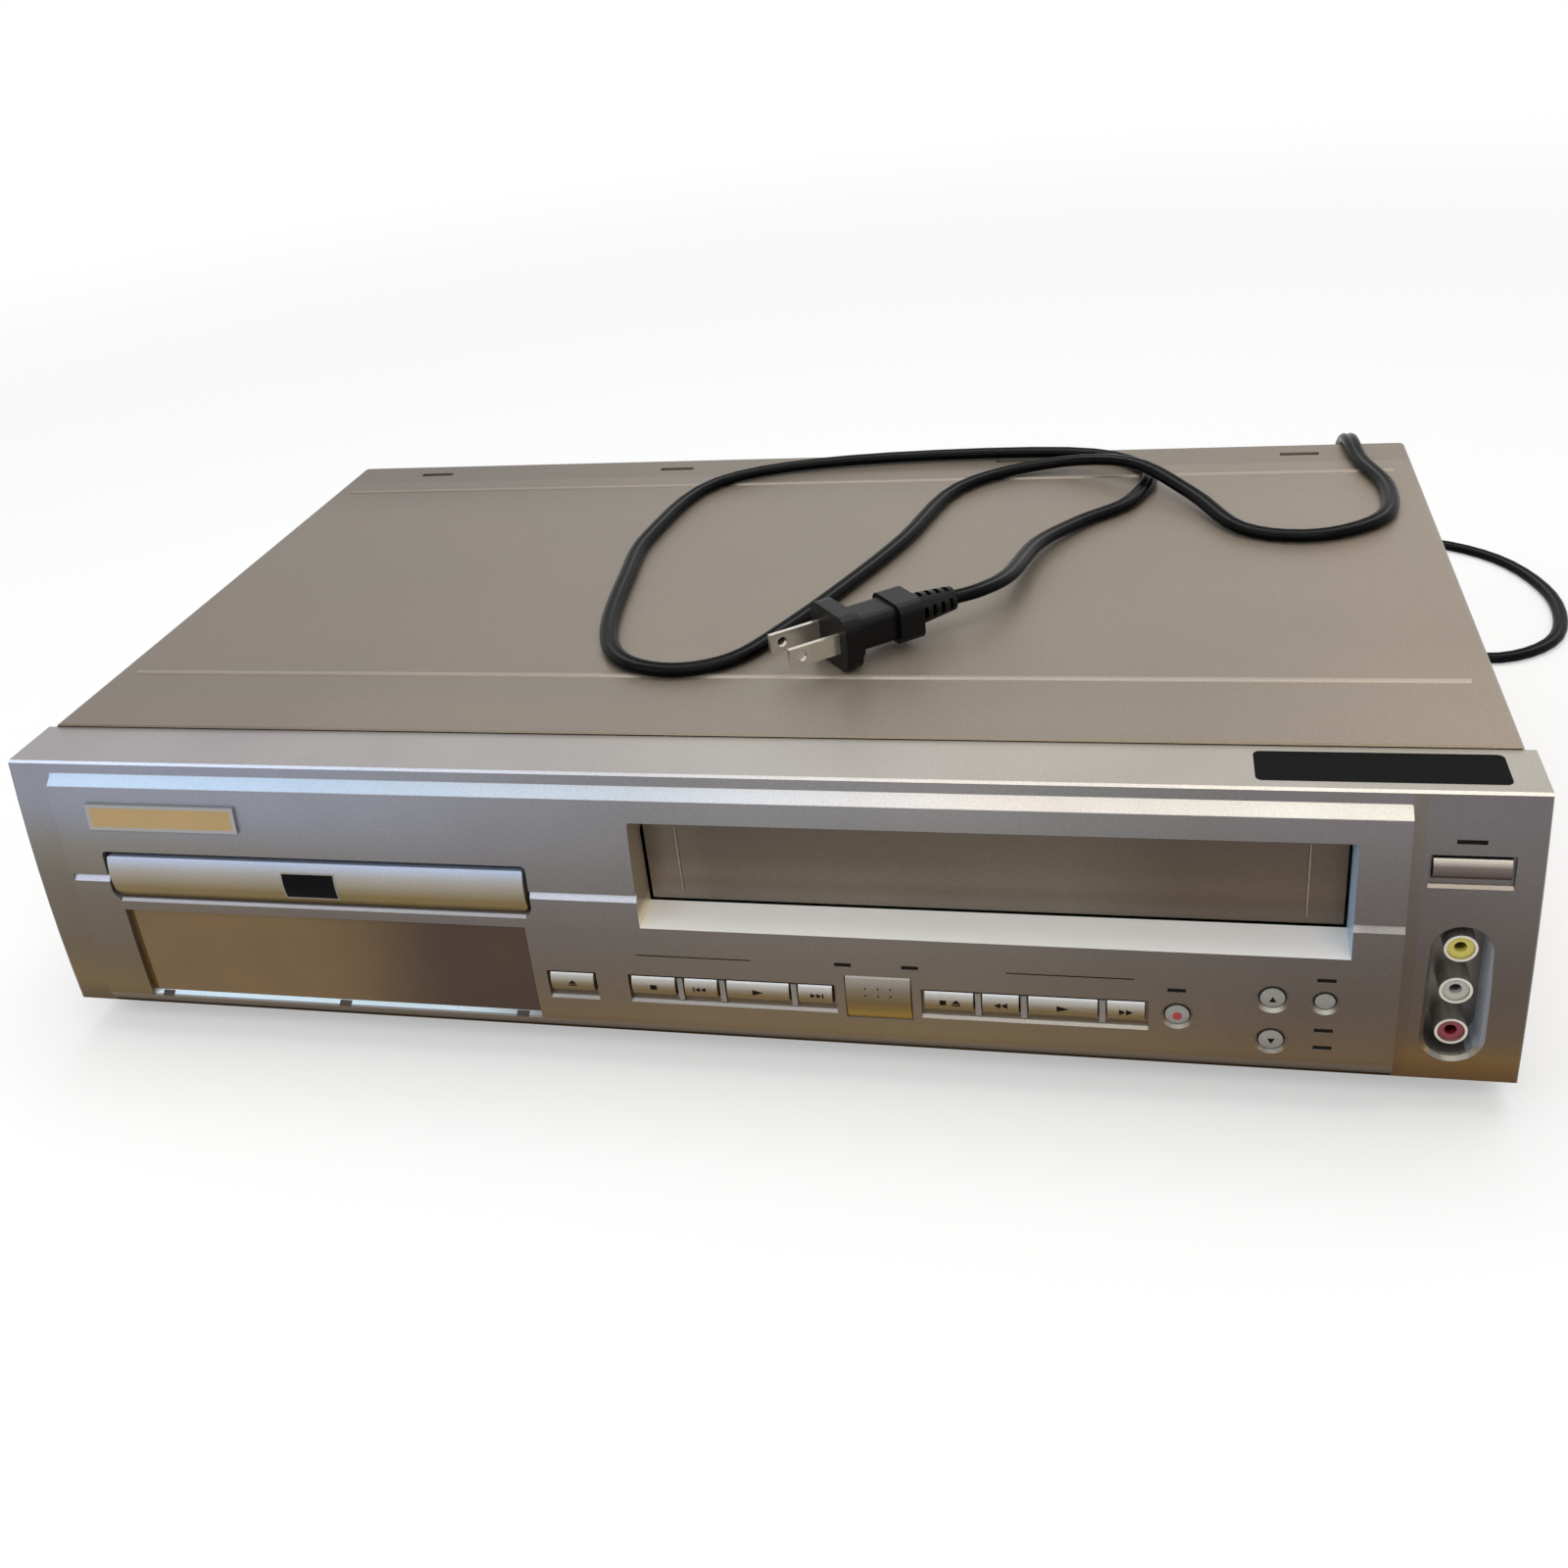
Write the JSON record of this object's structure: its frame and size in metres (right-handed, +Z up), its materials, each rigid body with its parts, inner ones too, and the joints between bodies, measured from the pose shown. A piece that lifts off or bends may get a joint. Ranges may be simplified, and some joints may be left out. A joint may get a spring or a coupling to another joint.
{
  "type": "disc player and video cassette recorder",
  "caption": "Full-width disc player and video cassette recorder: bowed front with disc drawer, cassette slot, keys and sockets, sheet metal case and mains cord.",
  "frame": {"origin": "under the middle of the case, on the surface the feet stand on", "axes": "+X to the right seen from the front, +Y to the back, +Z up"},
  "size_m": [0.5128, 0.4007, 0.1176],
  "materials": {
    "cover_paint": "fine satin texture",
    "silver_plastic": "metallic silver, satin",
    "key_silver": "metallic silver, semi-gloss",
    "door_metal": "satin bronze grey",
    "zinc_steel": "zinc plated",
    "black_plastic": "moulded",
    "dark_plastic": "moulded",
    "foot_rubber": "matt",
    "smoked_window": "smoked, mirror-like",
    "circuit_board": "solder mask",
    "jack_metal": "nickel plated",
    "jack_colours": "yellow, white and red",
    "badge": "satin",
    "cast_alloy": "machined",
    "bronze": "sintered bearing",
    "white_plastic": "acetal",
    "roller_rubber": "ground",
    "cord_black": "semi-gloss vinyl"
  },
  "bodies": {
    "chassis": {"bottom_pan": "zinc_steel", "top_cover": "cover_paint", "case_screws": "zinc_steel", "front_bezel": "silver_plastic", "rear_panel": "zinc_steel", "feet": "foot_rubber", "display_window": "smoked_window", "display_module": "circuit_board", "indicator_lenses": "black_plastic", "badge_plate": "badge", "button_board": "circuit_board", "front_jack_shells": "jack_metal", "front_jack_inserts": "jack_colours", "loader_frame": "dark_plastic", "clamp_bridge": "zinc_steel", "traverse_plate": "zinc_steel", "deck_plate": "zinc_steel", "side_brackets": "zinc_steel", "lower_drum": "cast_alloy", "capstan_bearing": "bronze", "tape_heads": "cast_alloy", "loading_motor": "zinc_steel", "main_board": "circuit_board", "power_supply": "circuit_board", "rear_jack_block": "black_plastic", "strain_relief": "cord_black", "power_cord": "cord_black", "power_plug": "cord_black", "plug_blades": "jack_metal"},
    "disc_tray": {"disc_tray": "dark_plastic", "tray_front": "key_silver"},
    "tray_gear": {"tray_gear": "white_plastic"},
    "clamp_disc": {"clamp_disc": "black_plastic"},
    "turntable": {"turntable": "dark_plastic"},
    "optical_sled": {"optical_sled": "dark_plastic"},
    "cassette_holder": {"cassette_holder": "zinc_steel"},
    "cassette_door": {"cassette_door": "door_metal"},
    "upper_drum": {"upper_drum": "cast_alloy"},
    "supply_reel": {"supply_reel": "white_plastic"},
    "takeup_reel": {"takeup_reel": "white_plastic"},
    "capstan_flywheel": {"capstan_flywheel": "zinc_steel"},
    "pinch_arm": {"pinch_arm": "zinc_steel"},
    "pinch_roller": {"pinch_roller": "roller_rubber"},
    "guide_post_left": {"guide_post_left": "cast_alloy"},
    "guide_post_right": {"guide_post_right": "cast_alloy"},
    "power_button": {"power_button": "key_silver"},
    "open_close_button": {"open_close_button": "key_silver"},
    "dvd_stop_button": {"dvd_stop_button": "key_silver"},
    "skip_back_button": {"skip_back_button": "key_silver"},
    "dvd_play_button": {"dvd_play_button": "key_silver"},
    "skip_forward_button": {"skip_forward_button": "key_silver"},
    "output_button": {"output_button": "key_silver"},
    "vcr_stop_eject_button": {"vcr_stop_eject_button": "key_silver"},
    "rewind_button": {"rewind_button": "key_silver"},
    "vcr_play_button": {"vcr_play_button": "key_silver"},
    "fast_forward_button": {"fast_forward_button": "key_silver"},
    "record_button": {"record_button": "key_silver"},
    "channel_up_button": {"channel_up_button": "key_silver"},
    "channel_down_button": {"channel_down_button": "key_silver"},
    "timer_button": {"timer_button": "key_silver"}
  },
  "joints": [
    {"name": "tray_slide", "type": "slide", "parent": "chassis", "child": "disc_tray", "axis": [0, -1, 0], "range_m": [0, 0.13]},
    {"name": "tray_gear_spin", "type": "hinge", "parent": "chassis", "child": "tray_gear", "pos_m": [-0.16435, -0.1035, 0.055], "axis": [0, 0, 1], "range_deg": [0, 932]},
    {"name": "turntable_spin", "type": "hinge", "parent": "chassis", "child": "turntable", "pos_m": [-0.1216, -0.0573, 0.055], "axis": [0, 0, 1], "continuous": true},
    {"name": "clamp_spin", "type": "hinge", "parent": "chassis", "child": "clamp_disc", "pos_m": [-0.1216, -0.0573, 0.07], "axis": [0, 0, 1], "continuous": true},
    {"name": "sled_slide", "type": "slide", "parent": "chassis", "child": "optical_sled", "axis": [0, 1, 0], "range_m": [0, 0.035]},
    {"name": "holder_load", "type": "slide", "parent": "chassis", "child": "cassette_holder", "axis": [0, 0.9091, -0.4167], "range_m": [0, 0.0528]},
    {"name": "door_hinge", "type": "hinge", "parent": "chassis", "child": "cassette_door", "pos_m": [0.0767, -0.1203, 0.0868], "axis": [1, 0, 0], "range_deg": [0, 85], "stiffness_Nm_per_rad": 0.02},
    {"name": "drum_spin", "type": "hinge", "parent": "chassis", "child": "upper_drum", "pos_m": [0.0767, 0.0545, 0.0305], "axis": [0, -0.0958, 0.9954], "continuous": true},
    {"name": "supply_reel_spin", "type": "hinge", "parent": "chassis", "child": "supply_reel", "pos_m": [0.0306, -0.0585, 0.03], "axis": [0, 0, 1], "continuous": true},
    {"name": "takeup_reel_spin", "type": "hinge", "parent": "chassis", "child": "takeup_reel", "pos_m": [0.1228, -0.0585, 0.03], "axis": [0, 0, 1], "continuous": true},
    {"name": "capstan_spin", "type": "hinge", "parent": "chassis", "child": "capstan_flywheel", "pos_m": [0.1287, 0.0215, 0.03], "axis": [0, 0, 1], "continuous": true},
    {"name": "pinch_arm_swing", "type": "hinge", "parent": "chassis", "child": "pinch_arm", "pos_m": [0.1607, 0.0325, 0.03], "axis": [0, 0, -1], "range_deg": [0, 13.2]},
    {"name": "pinch_roller_spin", "type": "hinge", "parent": "pinch_arm", "child": "pinch_roller", "pos_m": [0.13569, 0.0066, 0.035], "axis": [0, 0, 1], "continuous": true},
    {"name": "guide_left_slide", "type": "slide", "parent": "chassis", "child": "guide_post_left", "axis": [-0.2747, 0.9615, 0], "range_m": [0, 0.0436]},
    {"name": "guide_right_slide", "type": "slide", "parent": "chassis", "child": "guide_post_right", "axis": [0.2747, 0.9615, 0], "range_m": [0, 0.0436]},
    {"name": "power_press", "type": "slide", "parent": "chassis", "child": "power_button", "axis": [0, 1, 0], "range_m": [0, 0.0008], "stiffness_N_per_m": 500},
    {"name": "open_close_press", "type": "slide", "parent": "chassis", "child": "open_close_button", "axis": [0, 1, 0], "range_m": [0, 0.0008], "stiffness_N_per_m": 500},
    {"name": "dvd_stop_press", "type": "slide", "parent": "chassis", "child": "dvd_stop_button", "axis": [0, 1, 0], "range_m": [0, 0.0008], "stiffness_N_per_m": 500},
    {"name": "skip_back_press", "type": "slide", "parent": "chassis", "child": "skip_back_button", "axis": [0, 1, 0], "range_m": [0, 0.0008], "stiffness_N_per_m": 500},
    {"name": "dvd_play_press", "type": "slide", "parent": "chassis", "child": "dvd_play_button", "axis": [0, 1, 0], "range_m": [0, 0.0008], "stiffness_N_per_m": 500},
    {"name": "skip_forward_press", "type": "slide", "parent": "chassis", "child": "skip_forward_button", "axis": [0, 1, 0], "range_m": [0, 0.0008], "stiffness_N_per_m": 500},
    {"name": "output_press", "type": "slide", "parent": "chassis", "child": "output_button", "axis": [0, 1, 0], "range_m": [0, 0.0008], "stiffness_N_per_m": 500},
    {"name": "vcr_stop_eject_press", "type": "slide", "parent": "chassis", "child": "vcr_stop_eject_button", "axis": [0, 1, 0], "range_m": [0, 0.0008], "stiffness_N_per_m": 500},
    {"name": "rewind_press", "type": "slide", "parent": "chassis", "child": "rewind_button", "axis": [0, 1, 0], "range_m": [0, 0.0008], "stiffness_N_per_m": 500},
    {"name": "vcr_play_press", "type": "slide", "parent": "chassis", "child": "vcr_play_button", "axis": [0, 1, 0], "range_m": [0, 0.0008], "stiffness_N_per_m": 500},
    {"name": "fast_forward_press", "type": "slide", "parent": "chassis", "child": "fast_forward_button", "axis": [0, 1, 0], "range_m": [0, 0.0008], "stiffness_N_per_m": 500},
    {"name": "record_press", "type": "slide", "parent": "chassis", "child": "record_button", "axis": [0, 1, 0], "range_m": [0, 0.0008], "stiffness_N_per_m": 500},
    {"name": "channel_up_press", "type": "slide", "parent": "chassis", "child": "channel_up_button", "axis": [0, 1, 0], "range_m": [0, 0.0008], "stiffness_N_per_m": 500},
    {"name": "channel_down_press", "type": "slide", "parent": "chassis", "child": "channel_down_button", "axis": [0, 1, 0], "range_m": [0, 0.0008], "stiffness_N_per_m": 500},
    {"name": "timer_press", "type": "slide", "parent": "chassis", "child": "timer_button", "axis": [0, 1, 0], "range_m": [0, 0.0008], "stiffness_N_per_m": 500}
  ],
  "couplings": [
    {"joint": "tray_gear_spin", "follows": "tray_slide", "rad_per_m": 125},
    {"joint": "clamp_spin", "follows": "turntable_spin", "ratio": 1},
    {"joint": "guide_right_slide", "follows": "guide_left_slide", "ratio": 1}
  ]
}
